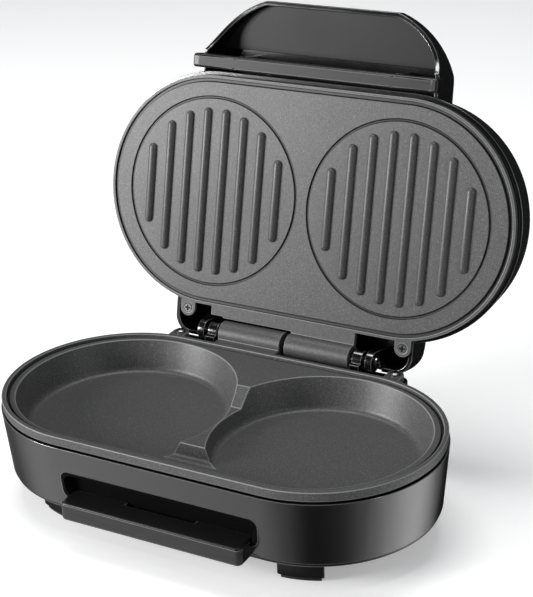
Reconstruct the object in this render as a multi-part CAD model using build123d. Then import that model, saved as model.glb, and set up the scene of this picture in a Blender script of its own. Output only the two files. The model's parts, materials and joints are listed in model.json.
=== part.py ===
"""Double-well electric omelette maker: drafted obround base with two frying wells, hinged lid with a
ribbed press plate, carried by a pin at the back.

Millimetres, +Z up. X runs along the length, -Y is the handle side. The origin lies on the worktop,
under the middle of the body. The lid's pieces are drawn shut and swung open onto the stop.
"""
from build123d import *
import os
from math import atan, cos, degrees, radians, sin

# --- Body outline: an obround, two half circles joined by straight sides ---
# Two wells side by side set the length, and their width sets the radius of the ends.
outline_half_span = 61.7      # from the middle to the centre of each half circle
end_margin = 1.7              # the wells' centres stand this far inside the half circles'
ridge_half_width = 3.4        # half the floor between the wells
well_draft = 5.8
well_margin = 6.3             # from the edge of a well to the edge of the plate
housing_margin = 0.7          # from the edge of the plate to the housing's
housing_draft = 3.3           # how much the wall leans out over its height
housing_height = 36.7
housing_wall = 2.5
well_half_spacing = outline_half_span - end_margin
well_floor_radius = well_half_spacing - ridge_half_width
well_top_radius = well_floor_radius + well_draft
plate_radius = well_top_radius + well_margin
housing_top_radius = plate_radius + housing_margin
housing_bottom_radius = housing_top_radius - housing_draft

# --- Heights above the worktop ---
foot_pad_height = 2.0
foot_height = 14.0
cover_thickness = 2.0
cover_inset = 0.8             # shadow line under the housing
plate_reveal = 1.2            # dark gap between each plate's flange and its housing
plates_gap = 0.4              # between the two shut plates

# --- Lower cooking plate ---
plate_flange_height = 5.1
bead_width = 2.7
bead_height = 1.5
groove_width = 1.4
groove_depth = 1.5
well_depth = 18.3
well_floor_rounding = 4.0
casting_wall = 3.0
saddle_drop = 9.2             # from the deck down to the ridge between the wells
saddle_back_foot = 18.4       # where the ridge meets the slope up to the rear deck
saddle_back_top = 28.0
saddle_front = -29.0          # blunt end of the ridge, ahead of it the wells are joined
saddle_front_draft = 1.5

# --- Upper cooking plate ---
press_margin = 0.1
press_radius = plate_radius + press_margin
press_thickness = 2.4
press_rim_height = 4.1
press_rim_width = 3.0
press_groove_width = 2.0
press_bead_width = 1.8
press_groove_depth = 1.2
ring_inset = 0.6
ring_radius = well_floor_radius - ring_inset
ring_width = 1.2
ring_depth = 0.8
rib_pitch = 0.218 * ring_radius
rib_shares = (0.432, 0.7, 0.829, 0.886, 0.886, 0.829, 0.7, 0.432)    # of the ring's radius
rib_half_lengths = [share * ring_radius for share in rib_shares]
rib_width = 5.2
rib_height = 2.5
rib_rounding = 1.8
hook_x = 30.0
hook_width = 6.0
hook_thickness = 2.4
hook_height = 6.2
hook_tooth = 2.2
hook_play = 0.1

# --- Lid shell ---
lid_margin = 2.2
lid_rim_radius = press_radius + lid_margin
lid_draft = 4.0
lid_top_radius = lid_rim_radius - lid_draft
lid_height = 25.3
lid_wall = 2.4
lid_top_rounding = 4.0
rim_play = 0.8                # between the press plate and the shell around it

# --- Lid handle: a hollow tongue, open below ---
tongue_overhang = 13.8        # past the centres of the half circles
tongue_reach = 10.0           # from the lid's rim to the foot of the tongue
tongue_taper = 33.5
tongue_root_half_width = outline_half_span + tongue_overhang
tongue_root_y = -lid_rim_radius - tongue_reach
tongue_tip_half_width = tongue_root_half_width - tongue_taper
tongue_length = 32.8
tongue_tip_y = tongue_root_y - tongue_length
tongue_bulge = 5.6            # how far the corner arc stands outside its chord
tongue_top_drop = 1.6         # below the lid's top, at the root and at the tip
tongue_tip_drop = 4.0
tongue_wall = 2.4
tongue_ceiling = 2.6
tongue_edge_rounding = 1.5
tongue_rim_rise = ((2.0, 0.3), (11.5, 8.2), (21.0, 11.2), (28.6, 12.1), (37.0, 13.6))    # out from the root
panel_thickness = 1.6
panel_play = 0.2
panel_start = 3.0             # out from the root
panel_start_y = tongue_root_y - panel_start
lip_overhang = 2.4
lip_inset = 0.3
lip_depth = 8.1
lip_half_length = tongue_root_half_width + lip_overhang
lip_front_y = tongue_root_y + lip_inset
lip_back_y = lip_front_y + lip_depth
lip_drop = 1.9                # below the press plate's face
lip_rounding = 1.6
strip_thickness = 1.0
strip_proud = 0.3
strip_margin = 1.4
handle_trim_margin = 1.0
lip_screw_x = 50.0
lip_screw_seat = 3.2          # depth of the screw pockets in the lip
boss_radius = 4.2

# --- Hinge ---
bridge_depth = 16.6           # from the housing's top edge back to the bridge's rear wall
bridge_back_y = housing_top_radius + bridge_depth
hinge_inset = 2.6             # in front of the bridge's rear face
hinge_y = bridge_back_y - hinge_inset
hinge_drop = 0.3              # below the lower plate's rim
hinge_mid_x = -1.75
open_angle = 103.46
pin_radius = 2.0
pin_clearance = 0.08
barrel_radius = 7.3
barrel_start = 1.6            # these are measured sideways from the hinge's middle
barrel_length = 41.2
base_knuckle_radius = 5.6
base_knuckle_start = 44.8
base_knuckle_length = 6.0
lid_knuckle_radius = 6.2
lid_knuckle_start = 53.2
lid_knuckle_length = 4.4
pin_head_radius = 3.4
pin_head_length = 1.4
pin_end_play = 0.2
hinge_flange_height = 3.6
rest_tab_x = (-54.7, -46.6)
rest_tab_gap = 9.2            # from the small tab on the upper plate to the hinge's axis

# --- Rear hood of the lid and rear bridge of the base ---
hood_overhang = 16.8          # past the centres of the half circles
hood_half_width = outline_half_span + hood_overhang
hood_reach = 5.6              # behind the hinge's axis
hood_back_y = hinge_y + hood_reach
hood_rim_drop = 2.9           # below the lid's rim
hood_height = 19.2
hood_corner = 18.5
hood_side_rounding = 11.0
hood_cutout_half_width = 60.2
hinge_clearance = 1.0
bridge_inset = 2.0
bridge_half_width = hood_half_width - bridge_inset
bridge_height = 22.5
bridge_drop = 2.2             # below the housing's top edge
bridge_corner = 5.0
cheek_rise = 1.1              # of the bridge's ends, beside the hinge
neck_thickness = 8.9
ear_inset = 5.4
ear_x = bridge_half_width - ear_inset
ear_radius = 5.0
lower_ear_inset = 9.0
upper_ear_gap = 10.8          # from the hinge's axis
lower_ear_y = bridge_back_y - lower_ear_inset
upper_ear_y = hinge_y - upper_ear_gap
lower_ear_height = 3.3
upper_ear_height = 2.2
ear_screw_length = 12.0

# --- Finger recess and lower handle ---
recess_inset = 2.3
recess_half_width = outline_half_span - recess_inset    # at the mouth, from where it narrows inwards
recess_end_slope = 4.4
recess_top_slope = 0.8
recess_rise = 7.1             # above the housing's bottom edge
recess_height = 13.5
recess_depth = 7.6
recess_back_y = recess_depth - housing_top_radius
recess_corner = 5.0
recess_wall = 1.8
handle_half_width = recess_half_width - recess_end_slope
handle_reach = 8.0            # in front of the housing's top edge
handle_front_y = -housing_top_radius - handle_reach
handle_drop = 1.2             # below the housing's bottom edge
handle_rounding = 0.9
handle_corner = 3.0
handle_shelf_thickness = 2.0
handle_shelf_play = 0.2
handle_notch_half_width = 21.5
handle_notch_depth = 3.2
handle_screw_x = (-36.0, 0.0, 36.0)
handle_screw_rise = 3.3       # above the housing's bottom edge
handle_pad_play = 0.1
handle_pad_y = recess_back_y + recess_wall + handle_pad_play
handle_pad_half_width = 5.0

# --- Feet ---
foot_inset = 10.9
foot_width = 11.0
foot_outer_radius = housing_bottom_radius - foot_inset
foot_inner_radius = foot_outer_radius - foot_width
foot_start_angle = 61.5
foot_end_angle = 88.0
foot_rounding = 1.4
foot_pad_inset = 1.5

# --- Heating ---
element_radius = 3.2
element_inset = 20.6
element_loop_radius = well_floor_radius - element_inset
element_exit_half_gap = 7.0
element_exit_bend = 7.0
element_exit_length = 9.0
seat_play = 0.05
seat_width = 10.0
seat_height = 2.6
clamp_overhang = 5.0
clamp_half_length = element_loop_radius + clamp_overhang
clamp_width = 12.0
clamp_thickness = 1.2
clamp_boss_radius = 5.0
clamp_screw_length = 8.0
shield_thickness = 0.6
shield_margin = 5.5
shield_radius = element_loop_radius + shield_margin
shield_rim = 3.6
lower_shield_drop = 6.75      # below the clamps
upper_shield_rise = 15.0      # above the upper plate's face
shield_post_radius = 4.0
shield_post_inset = 6.0
shield_post_y = element_loop_radius - shield_post_inset
shield_screw_length = 5.5
thermostat_x = 30.0
thermostat_radius = 8.0
thermostat_drop = 9.2
thermostat_ear_y = 13.0
thermostat_ear_drop = 4.2
thermostat_ear_thickness = 1.2
thermostat_ear_width = 8.0
thermostat_screw_length = 5.0
fuse_x = -30.0
fuse_radius = 2.0
fuse_length = 18.0
strap_width = 7.0
strap_thickness = 0.8
strap_screw_y = 9.0
strap_screw_length = 4.5
small_boss_radius = 3.4
terminal_x = 45.0
terminal_inset = 14.1
terminal_y = housing_bottom_radius - terminal_inset
terminal_length = 34.0
terminal_width = 14.0
terminal_height = 9.0
terminal_pitch = 8.0
terminal_bore_radius = 1.6
terminal_screw_x = 13.5
terminal_pocket = 3.0
terminal_screw_length = 7.5

# --- Cord inlet ---
gland_x = 45.0
gland_rise = 5.6              # above the housing's bottom edge
gland_neck_radius = 4.2
gland_flange_radius = 5.4
gland_bore_radius = 3.2
gland_outer_length = 6.0

# --- Fasteners and their supports ---
screw_radius = 1.5
screw_play = 0.05
screw_head_radius = 3.0
screw_head_height = 1.7
screw_recess_length = 3.4
screw_recess_width = 0.8
screw_recess_depth = 1.0
screw_length = 8.0
rear_tab_x = 22.0
rear_tab_inset = 9.9
rear_tab_y = housing_top_radius - rear_tab_inset
rear_tab_drop = 4.0           # below the plate's flange
front_tab_x = 45.0
front_tab_reach = 14.8        # from the back of the finger recess
front_tab_y = recess_back_y + front_tab_reach
front_tab_drop = 5.2          # below the wells
tab_radius = 5.0
tab_thickness = 3.0
plate_pad_radius = 4.5
cover_screw_inset = 6.96      # from the housing's bottom edge
cover_screw_angle = 25.0
cover_boss_height = 14.0
cover_screw_length = 12.0
handle_screw_length = 12.0
vent_count = 6
vent_pitch = 6.0
vent_length = 30.0
vent_width = 2.4
vent_start_x = 45.0
overlap = 1.0                 # how far cutting tools run past a face

# --- Derived heights and positions ---
cover_bottom = foot_pad_height + foot_height
housing_bottom = cover_bottom + cover_thickness
housing_top = housing_bottom + housing_height
flange_bottom = housing_top + plate_reveal
rim_top = flange_bottom + plate_flange_height
deck_z = rim_top - bead_height
floor_z = deck_z - well_depth
under_floor_z = floor_z - casting_wall
saddle_z = deck_z - saddle_drop
press_z = rim_top + plates_gap
press_back_z = press_z + press_thickness
press_rim_z = press_z + press_rim_height
lid_rim_z = press_rim_z + plate_reveal
lid_top_z = lid_rim_z + lid_height
housing_taper = degrees(atan((housing_top_radius - housing_bottom_radius) / housing_height))
lid_taper = degrees(atan((lid_rim_radius - lid_top_radius) / lid_height))
well_slope = (well_top_radius - well_floor_radius) / well_depth
pin_hole_radius = pin_radius + pin_clearance
pin_reach = lid_knuckle_start + lid_knuckle_length + pin_head_length + overlap
lower_element_z = under_floor_z - element_radius - seat_play
upper_element_z = press_back_z + element_radius + seat_play
lower_clamp_z = lower_element_z - element_radius
lower_shield_z = lower_clamp_z - lower_shield_drop
upper_clamp_z = upper_element_z + element_radius
upper_shield_z = press_z + upper_shield_rise
lid_ceiling_z = lid_top_z - lid_wall
rear_tab_z = flange_bottom - rear_tab_drop
front_tab_z = under_floor_z - front_tab_drop
lower_ear_z = flange_bottom + lower_ear_height
upper_ear_z = press_z + upper_ear_height
hood_rim_z = lid_rim_z - hood_rim_drop
hood_top_z = hood_rim_z + hood_height
bridge_top = housing_top - bridge_drop
hinge_z = rim_top - hinge_drop
recess_bottom = housing_bottom + recess_rise
recess_top = recess_bottom + recess_height
handle_bottom = housing_bottom - handle_drop
handle_screw_z = housing_bottom + handle_screw_rise
gland_z = housing_bottom + gland_rise
handle_top = recess_bottom + handle_shelf_thickness
lip_bottom_z = press_z - lip_drop
lip_top_z = lid_rim_z + tongue_rim_rise[0][1]
terminal_top = housing_bottom + terminal_height


# ---------------------------------------------------------------- helpers
def obround(radius, z, half_span=outline_half_span):
    """Face with the body's outline, lying at height z."""
    return Pos(0, 0, z) * SlotCenterToCenter(2 * half_span, 2 * radius)


def obround_prism(radius, z0, z1, half_span=outline_half_span):
    return extrude(obround(radius, z0, half_span), z1 - z0)


def obround_ring(outer, inner, z0, z1, half_span=outline_half_span):
    core = obround_prism(inner, z0 - overlap, z1 + overlap, half_span)
    return obround_prism(outer, z0, z1, half_span) - core


def block(x0, x1, y0, y1, z0, z1):
    """Box between two corners."""
    centre = Pos((x0 + x1) / 2, (y0 + y1) / 2, (z0 + z1) / 2)
    return centre * Box(x1 - x0, y1 - y0, z1 - z0)


def post(x, y, radius, z0, z1):
    return Pos(x, y, (z0 + z1) / 2) * Cylinder(radius, z1 - z0)


def rod_x(x0, x1, radius):
    """Cylinder on the hinge axis."""
    return Pos((x0 + x1) / 2, hinge_y, hinge_z) * Rot(0, 90, 0) * Cylinder(radius, x1 - x0)


def profile_x(points, x0, x1):
    """Prism along X from an outline of (y, z) points."""
    face = make_face(Plane.YZ * Polyline(*points, close=True))
    return Pos(x0, 0, 0) * extrude(face, x1 - x0)


def swung(shape):
    """Turn a lid piece from shut to open, about the hinge axis."""
    return shape.rotate(Axis((0, hinge_y, hinge_z), (1, 0, 0)), -open_angle)


def both_ways(x, y, both_y=False):
    """A position and its mirror images, left and right, and front and rear if asked."""
    spots = [(x, y), (-x, y)]
    if both_y:
        spots += [(x, -y), (-x, -y)]
    return spots


def knuckle_spans(start, length):
    """Left and right copies of a hinge knuckle, as x ranges."""
    left = (hinge_mid_x - start - length, hinge_mid_x - start)
    right = (hinge_mid_x + start, hinge_mid_x + start + length)
    return (left, right)


def screw(length, play=0.0, countersunk=False):
    """Cross-recessed screw, head up, seated at z = 0. With play it is the tool for its hole."""
    radius = screw_radius + play
    shank = Pos(0, 0, -length / 2) * Cylinder(radius, length)
    if countersunk:
        top = 0.0
        head = Pos(0, 0, -screw_head_height / 2) * Cone(radius, screw_head_radius + play, screw_head_height)
    else:
        top = screw_head_height
        head = Pos(0, 0, screw_head_height / 2) * Cylinder(screw_head_radius, screw_head_height)
    if play > 0:
        return shank + head if countersunk else shank
    if not countersunk:
        head = fillet(head.edges().group_by(Axis.Z)[-1], screw_head_height / 2)
    body = shank + head
    for turn in (0, 90):
        arm = Rot(0, 0, turn) * Box(screw_recess_length, screw_recess_width, 2 * screw_recess_depth)
        body -= Pos(0, 0, top) * arm
    return body


def screws_at(spots, seat_z, length, head_down, countersunk, play=0.0):
    """Several screws, or the tools for their holes, seated at one height."""
    turn = Rot(180, 0, 0) if head_down else Rot(0, 0, 0)
    one = turn * screw(length, play, countersunk)
    return [Pos(x, y, seat_z) * one for x, y in spots]


def cut_all(shape, tools):
    for tool in tools:
        shape -= tool
    return shape


def cut_screws(shape, group):
    """Cut the holes for one group of screws."""
    return cut_all(shape, screws_at(*group, play=screw_play))


def screw_group(group):
    return Compound(screws_at(*group))


# ---------------------------------------------------------------- screws
# Each group holds its spots, seat height, length, whether the heads point down, and whether countersunk.
shield_spots = both_ways(well_half_spacing, shield_post_y, True)
clamp_spots = both_ways(well_half_spacing, 0)
rear_tab_spots = both_ways(rear_tab_x, rear_tab_y)
front_tab_spots = both_ways(front_tab_x, front_tab_y)
lower_ear_spots = both_ways(ear_x, lower_ear_y)
upper_ear_spots = both_ways(ear_x, upper_ear_y)
cover_screw_radius = housing_bottom_radius - cover_screw_inset
cover_screw_x = outline_half_span + cover_screw_radius * cos(radians(cover_screw_angle))
cover_screw_y = cover_screw_radius * sin(radians(cover_screw_angle))
cover_spots = both_ways(cover_screw_x, cover_screw_y, True)
lip_spots = both_ways(lip_screw_x, (lip_front_y + lip_back_y) / 2)
thermostat_spots = [(thermostat_x, thermostat_ear_y), (thermostat_x, -thermostat_ear_y)]
strap_spots = [(fuse_x, strap_screw_y), (fuse_x, -strap_screw_y)]
terminal_spots = [(terminal_x - terminal_screw_x, terminal_y), (terminal_x + terminal_screw_x, terminal_y)]

thermostat_ear_z = under_floor_z - thermostat_ear_drop
strap_z = under_floor_z - 2 * fuse_radius
terminal_seat_z = terminal_top - terminal_pocket
rear_tabs = (rear_tab_spots, rear_tab_z - tab_thickness, screw_length, True, False)
front_tabs = (front_tab_spots, front_tab_z - tab_thickness, screw_length, True, False)
lower_ears = (lower_ear_spots, lower_ear_z, ear_screw_length, False, False)
upper_ears = (upper_ear_spots, press_z, ear_screw_length, True, True)
lower_clamps = (clamp_spots, lower_clamp_z - clamp_thickness, clamp_screw_length, True, False)
upper_clamps = (clamp_spots, upper_clamp_z + clamp_thickness, clamp_screw_length, False, False)
lower_shield = (shield_spots, lower_shield_z + shield_thickness, shield_screw_length, False, False)
upper_shield = (shield_spots, upper_shield_z, shield_screw_length, True, False)
cover_group = (cover_spots, cover_bottom, cover_screw_length, True, False)
thermostat_group = (thermostat_spots, thermostat_ear_z - thermostat_ear_thickness, thermostat_screw_length,
                    True, False)
strap_group = (strap_spots, strap_z - strap_thickness, strap_screw_length, True, False)
terminal_group = (terminal_spots, terminal_seat_z, terminal_screw_length, False, False)
lip_group = (lip_spots, lip_bottom_z + lip_screw_seat, ear_screw_length, True, False)


# ---------------------------------------------------------------- base
def housing_outer():
    return extrude(obround(housing_bottom_radius, housing_bottom), housing_height, taper=-housing_taper)


def housing_inner():
    face = obround(housing_bottom_radius - housing_wall, housing_bottom)
    return extrude(face, housing_height, taper=-housing_taper)


def recess_solid(grow):
    """The finger recess above the handle, grown by its wall. It narrows towards its back."""
    depth = recess_back_y + housing_top_radius
    mouth_plane = Plane.XZ.offset(housing_top_radius)
    back_plane = Plane.XZ.offset(-recess_back_y - grow)
    ends = []
    for plane, share in ((mouth_plane, 0.0), (back_plane, 1 + grow / depth)):
        half = recess_half_width - share * recess_end_slope + grow
        top = recess_top - share * recess_top_slope + grow
        low = recess_bottom - grow
        sketch = RectangleRounded(2 * half, top - low, recess_corner)
        ends.append(plane * Pos(0, (top + low) / 2) * sketch)
    return loft(ends)


def handle_screw_tools(play=0.0):
    one = Rot(-90, 0, 0) * screw(handle_screw_length, play)
    return [Pos(x, handle_pad_y, handle_screw_z) * one for x in handle_screw_x]


def base_housing():
    shell = housing_outer() - housing_inner()
    shell -= recess_solid(recess_wall)
    for x, y in rear_tab_spots:
        arm = block(x - tab_radius, x + tab_radius, y, housing_top_radius - housing_wall / 2,
                    rear_tab_z - tab_thickness, rear_tab_z)
        shell += post(x, y, tab_radius, rear_tab_z - tab_thickness, rear_tab_z) + arm
    for x, y in cover_spots:
        shell += post(x, y, tab_radius, housing_bottom, housing_bottom + cover_boss_height)
    shell = cut_all(shell, handle_screw_tools(screw_play))
    for group in (rear_tabs, cover_group):
        shell = cut_screws(shell, group)
    neck = Rot(90, 0, 0) * Cylinder(gland_neck_radius + screw_play, 4 * gland_outer_length)
    return shell - Pos(gland_x, housing_bottom_radius, gland_z) * neck


def recess_tray():
    """Tray set into the housing's front: the recess, the handle's screw pads and two plate supports."""
    tray = recess_solid(recess_wall)
    for x, y in front_tab_spots:
        arm = block(x - tab_radius, x + tab_radius, recess_back_y + recess_wall / 2, y,
                    front_tab_z - tab_thickness, front_tab_z)
        tray += post(x, y, tab_radius, front_tab_z - tab_thickness, front_tab_z) + arm
    for x in handle_screw_x:
        pad = block(x - handle_pad_half_width, x + handle_pad_half_width, -housing_top_radius,
                    handle_pad_y, housing_bottom, recess_bottom - recess_wall / 2)
        tray += pad & (housing_inner() + recess_solid(recess_wall))
    tray = (tray & housing_outer()) - recess_solid(0)
    tray = cut_all(tray, handle_screw_tools(screw_play))
    return cut_screws(tray, front_tabs)


def hinge_bridge():
    """Bridge behind the housing, held to the lower plate's ears. It carries the base's hinge knuckles."""
    wall_y = housing_bottom_radius - housing_wall / 2
    cheek_top = bridge_top + cheek_rise
    bridge = block(-bridge_half_width, bridge_half_width, wall_y, bridge_back_y,
                   bridge_top - bridge_height, cheek_top)
    bridge = fillet(bridge.edges().filter_by(Axis.Z).group_by(Axis.Y)[-1], bridge_corner)
    bridge -= block(hinge_mid_x - base_knuckle_start, hinge_mid_x + base_knuckle_start, 0, hood_back_y,
                    bridge_top, cheek_top + overlap)
    bridge -= block(housing_wall - bridge_half_width, bridge_half_width - housing_wall, 0,
                    bridge_back_y - housing_wall, 0, bridge_top - housing_wall)
    for x, y in lower_ear_spots:
        bridge += post(x, y, ear_radius, bridge_top - ear_screw_length, flange_bottom)
    for x0, x1 in knuckle_spans(base_knuckle_start, base_knuckle_length):
        neck_y = bridge_back_y - housing_wall
        bridge += block(x0, x1, neck_y - neck_thickness, bridge_back_y, bridge_top - overlap, hinge_z)
        bridge += rod_x(x0, x1, base_knuckle_radius)
    bridge -= housing_outer()
    bridge = cut_screws(bridge, lower_ears)
    return bridge - rod_x(-pin_reach, pin_reach, pin_hole_radius)


def foot_sector(inner, outer, start, end, z0, z1):
    """Foot block under the body's front right corner, an arc about the end circle's centre."""
    height = z1 - z0
    ring = Cylinder(outer, height) - Cylinder(inner, height + overlap)
    wedge = Rot(0, 0, -end) * Box(2 * outer, 2 * outer, height, align=(Align.MIN, Align.MIN, Align.CENTER))
    back = Rot(0, 0, -start) * Box(2 * outer, 2 * outer, height, align=(Align.MIN, Align.MAX, Align.CENTER))
    return Pos(outline_half_span, 0, (z0 + z1) / 2) * (ring & wedge & back)


def four_corners(shape):
    """The shape under all four corners of the body."""
    right = [shape, mirror(shape, Plane.XZ)]
    return right + [mirror(one, Plane.YZ) for one in right]


def bottom_cover():
    cover = obround_prism(housing_bottom_radius - cover_inset, cover_bottom, housing_bottom)
    foot = foot_sector(foot_inner_radius, foot_outer_radius, foot_start_angle, foot_end_angle,
                       foot_pad_height, cover_bottom)
    foot = fillet(foot.edges().group_by(Axis.Z)[0], foot_rounding)
    for one in four_corners(foot):
        cover += one
    for x, y in shield_spots:
        cover += post(x, y, shield_post_radius, cover_bottom, lower_shield_z)
    for group in (lower_shield, cover_group, terminal_group):
        cover = cut_screws(cover, group)
    for side in (-1, 1):
        for i in range(vent_count):
            x = side * (vent_start_x + vent_pitch * i)
            slot = Pos(x, 0, cover_bottom) * SlotOverall(vent_length, vent_width, rotation=90)
            cover -= extrude(slot, cover_thickness)
    return cover


def foot_pads():
    inset_angle = degrees(foot_pad_inset / foot_outer_radius)
    pad = foot_sector(foot_inner_radius + foot_pad_inset, foot_outer_radius - foot_pad_inset,
                      foot_start_angle + inset_angle, foot_end_angle - inset_angle, 0, foot_pad_height)
    return Compound(four_corners(pad))


def handle_blank(grow):
    """The lower handle's bar with rounded corners, grown outwards at its front and ends."""
    blank = block(-handle_half_width - grow, handle_half_width + grow, handle_front_y - grow, recess_back_y,
                  handle_bottom, handle_top)
    return fillet(blank.edges().filter_by(Axis.Z).group_by(Axis.Y)[0], handle_corner + grow)


def lower_handle():
    """Bar across the front, with a shelf that reaches back over the floor of the finger recess."""
    blank = handle_blank(0)
    long_edges = blank.edges().filter_by(Axis.X).group_by(Axis.Y)[0]
    blank = fillet(long_edges, handle_rounding)
    body = obround_prism(housing_bottom_radius, cover_bottom, housing_bottom)
    blank -= housing_outer() - recess_solid(0)
    blank -= body
    blank -= block(-handle_half_width, handle_half_width, recess_back_y - handle_shelf_play, recess_back_y,
                   handle_bottom, handle_top)
    blank -= block(-handle_notch_half_width, handle_notch_half_width, recess_back_y - handle_notch_depth,
                   recess_back_y, recess_bottom - overlap, handle_top + overlap)
    blank -= handle_trim_solid()
    return cut_all(blank, handle_screw_tools(screw_play))


def handle_trim_solid():
    """Satin strip let into the handle's front and wrapped round its corners."""
    skin = handle_blank(strip_proud) - handle_blank(strip_proud - strip_thickness)
    low = handle_bottom + handle_trim_margin
    high = handle_top - handle_trim_margin
    half = handle_half_width + strip_proud
    reach = handle_front_y + handle_corner
    return skin & block(-half, half, handle_front_y - strip_proud, reach, low, high)


def cord_gland():
    """Grommet-like inlet in the rear wall, with its bore left open for a cord."""
    axis_turn = Rot(90, 0, 0)
    seat_y = housing_bottom_radius
    body = axis_turn * Cylinder(gland_neck_radius, 2 * gland_outer_length)
    tail = axis_turn * Cylinder(gland_flange_radius, gland_outer_length)
    place = Pos(gland_x, seat_y, gland_z)
    outer = Pos(0, gland_outer_length / 2, 0) * tail
    gland = place * (body + outer)
    inner_flange = place * Pos(0, -gland_outer_length / 2, 0) * tail
    wall = housing_outer() - housing_inner()
    gland = (gland - housing_outer()) + (place * body & wall) + (inner_flange & housing_inner())
    gland += place * body & housing_outer()
    return gland - place * axis_turn * Cylinder(gland_bore_radius, 4 * gland_outer_length)


# ---------------------------------------------------------------- lower cooking plate
def well_y(z, grow=0.0):
    """Distance of the well's wall from its centre at height z."""
    return well_floor_radius + well_slope * (z - floor_z) + grow


def well_cones(z0, z1, grow):
    cone = Cone(well_y(z0, grow), well_y(z1, grow), z1 - z0)
    return [Pos(side * well_half_spacing, 0, (z0 + z1) / 2) * cone for side in (-1, 1)]


def well_cavity():
    top = rim_top + overlap
    left, right = well_cones(floor_z, top, 0)
    back_slope = (saddle_back_top - saddle_back_foot) / saddle_drop
    points = [
        (-well_y(top), top), (-well_y(floor_z), floor_z), (saddle_front - saddle_front_draft, floor_z),
        (saddle_front, saddle_z), (saddle_back_foot, saddle_z), (saddle_back_top, deck_z),
        (saddle_back_top + back_slope * (top - deck_z), top),
    ]
    cavity = left + right + profile_x(points, -well_half_spacing, well_half_spacing)
    return fillet(cavity.edges().group_by(Axis.Z)[0], well_floor_rounding)


def element_path(z):
    """Right half of a heating element's centre line: a loop under the well, its end turned to the rear."""
    radius = element_loop_radius
    gap = element_exit_half_gap
    bend_y = radius + element_exit_bend
    inset = element_exit_bend * (1 - 0.5 ** 0.5)
    front = Line((0, -radius), (well_half_spacing, -radius))
    loop_end = (well_half_spacing, radius)
    loop = ThreePointArc((well_half_spacing, -radius), (well_half_spacing + radius, 0), loop_end)
    leg = Line(loop_end, (gap + element_exit_bend, radius))
    bend = ThreePointArc((gap + element_exit_bend, radius), (gap + inset, radius + inset), (gap, bend_y))
    rear = Line((gap, bend_y), (gap, bend_y + element_exit_length))
    return Pos(0, 0, z) * Wire([front, loop, leg, bend, rear])


def element(z, play=0.0):
    """Tubular heating element, one loop under both wells. With play it is the tool for its seat."""
    path = element_path(z)
    half = sweep(Plane(origin=path @ 0, z_dir=path % 0) * Circle(element_radius + play), path=path)
    return half + mirror(half, Plane.YZ)


def clamp_bars(z, group):
    """Bars across the element, one under the middle of each well, their undersides at height z."""
    bars = []
    for x, y in clamp_spots:
        bar = block(x - clamp_width / 2, x + clamp_width / 2, -clamp_half_length, clamp_half_length,
                    z, z + clamp_thickness)
        bars.append(cut_screws(bar, group))
    return Compound(bars)


def lower_cooking_plate():
    plate = obround_prism(plate_radius, flange_bottom, rim_top)
    cups = well_cones(under_floor_z, deck_z, casting_wall)
    under = saddle_z - casting_wall
    points = [
        (-well_y(deck_z, casting_wall), deck_z), (-well_y(under_floor_z, casting_wall), under_floor_z),
        (saddle_front + saddle_front_draft, under_floor_z), (saddle_front + casting_wall, under),
        (saddle_back_foot + casting_wall / 2, under), (saddle_back_top + casting_wall / 2, flange_bottom),
        (saddle_back_top + casting_wall / 2, deck_z),
    ]
    plate += cups + [profile_x(points, -well_half_spacing, well_half_spacing)]
    seat = obround_ring(element_loop_radius + seat_width / 2, element_loop_radius - seat_width / 2,
                        under_floor_z - seat_height, under_floor_z + overlap, well_half_spacing)
    gap = block(-well_half_spacing / 2, well_half_spacing / 2, 0, plate_radius, 0, rim_top)
    plate += seat - gap
    for x, y in clamp_spots:
        plate += post(x, y, clamp_boss_radius, lower_clamp_z, under_floor_z + overlap)
    for x, y in thermostat_spots:
        plate += post(x, y, small_boss_radius, thermostat_ear_z, under_floor_z + overlap)
    for x, y in strap_spots:
        plate += post(x, y, small_boss_radius, strap_z, under_floor_z + overlap)
    for x, y in front_tab_spots:
        plate += post(x, y, plate_pad_radius, front_tab_z, under_floor_z + overlap)
    for x, y in rear_tab_spots:
        plate += post(x, y, plate_pad_radius, rear_tab_z, flange_bottom + overlap)
    plate -= well_cavity()
    plate -= obround_prism(plate_radius - bead_width, deck_z, rim_top + overlap)
    plate -= obround_ring(plate_radius - bead_width, plate_radius - bead_width - groove_width,
                          deck_z - groove_depth, rim_top + overlap)
    ears = None
    for x, y in lower_ear_spots:
        ear = post(x, y, ear_radius, flange_bottom, lower_ear_z)
        ear += block(x - ear_radius, x + ear_radius, well_top_radius, y, flange_bottom, lower_ear_z)
        ears = ear if ears is None else ears + ear
    x1 = hinge_mid_x - barrel_start
    x0 = x1 - barrel_length
    ears += block(x0, x1, well_top_radius, hinge_y, flange_bottom, flange_bottom + hinge_flange_height)
    ears -= obround_prism(plate_radius - bead_width / 2, flange_bottom - overlap, rim_top)
    plate += ears
    plate += rod_x(x0, x1, barrel_radius)
    plate -= element(lower_element_z, seat_play)
    plate -= rod_x(x0 - overlap, x1 + overlap, pin_hole_radius)
    for group in (lower_clamps, thermostat_group, strap_group, rear_tabs, front_tabs, lower_ears):
        plate = cut_screws(plate, group)
    return plate


def heat_shield(z, rim_up):
    """Thin pan that follows the heating element, with holes for its screws."""
    low = z if rim_up else z - shield_rim + shield_thickness
    high = z + shield_rim if rim_up else z + shield_thickness
    pan = obround_prism(shield_radius, low, high, well_half_spacing)
    inner_low = z + shield_thickness if rim_up else low - overlap
    inner_high = high + overlap if rim_up else z
    pan -= obround_prism(shield_radius - shield_thickness, inner_low, inner_high, well_half_spacing)
    for x, y in shield_spots:
        pan -= post(x, y, screw_radius + screw_play, z - overlap, z + shield_thickness + overlap)
    return pan


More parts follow.
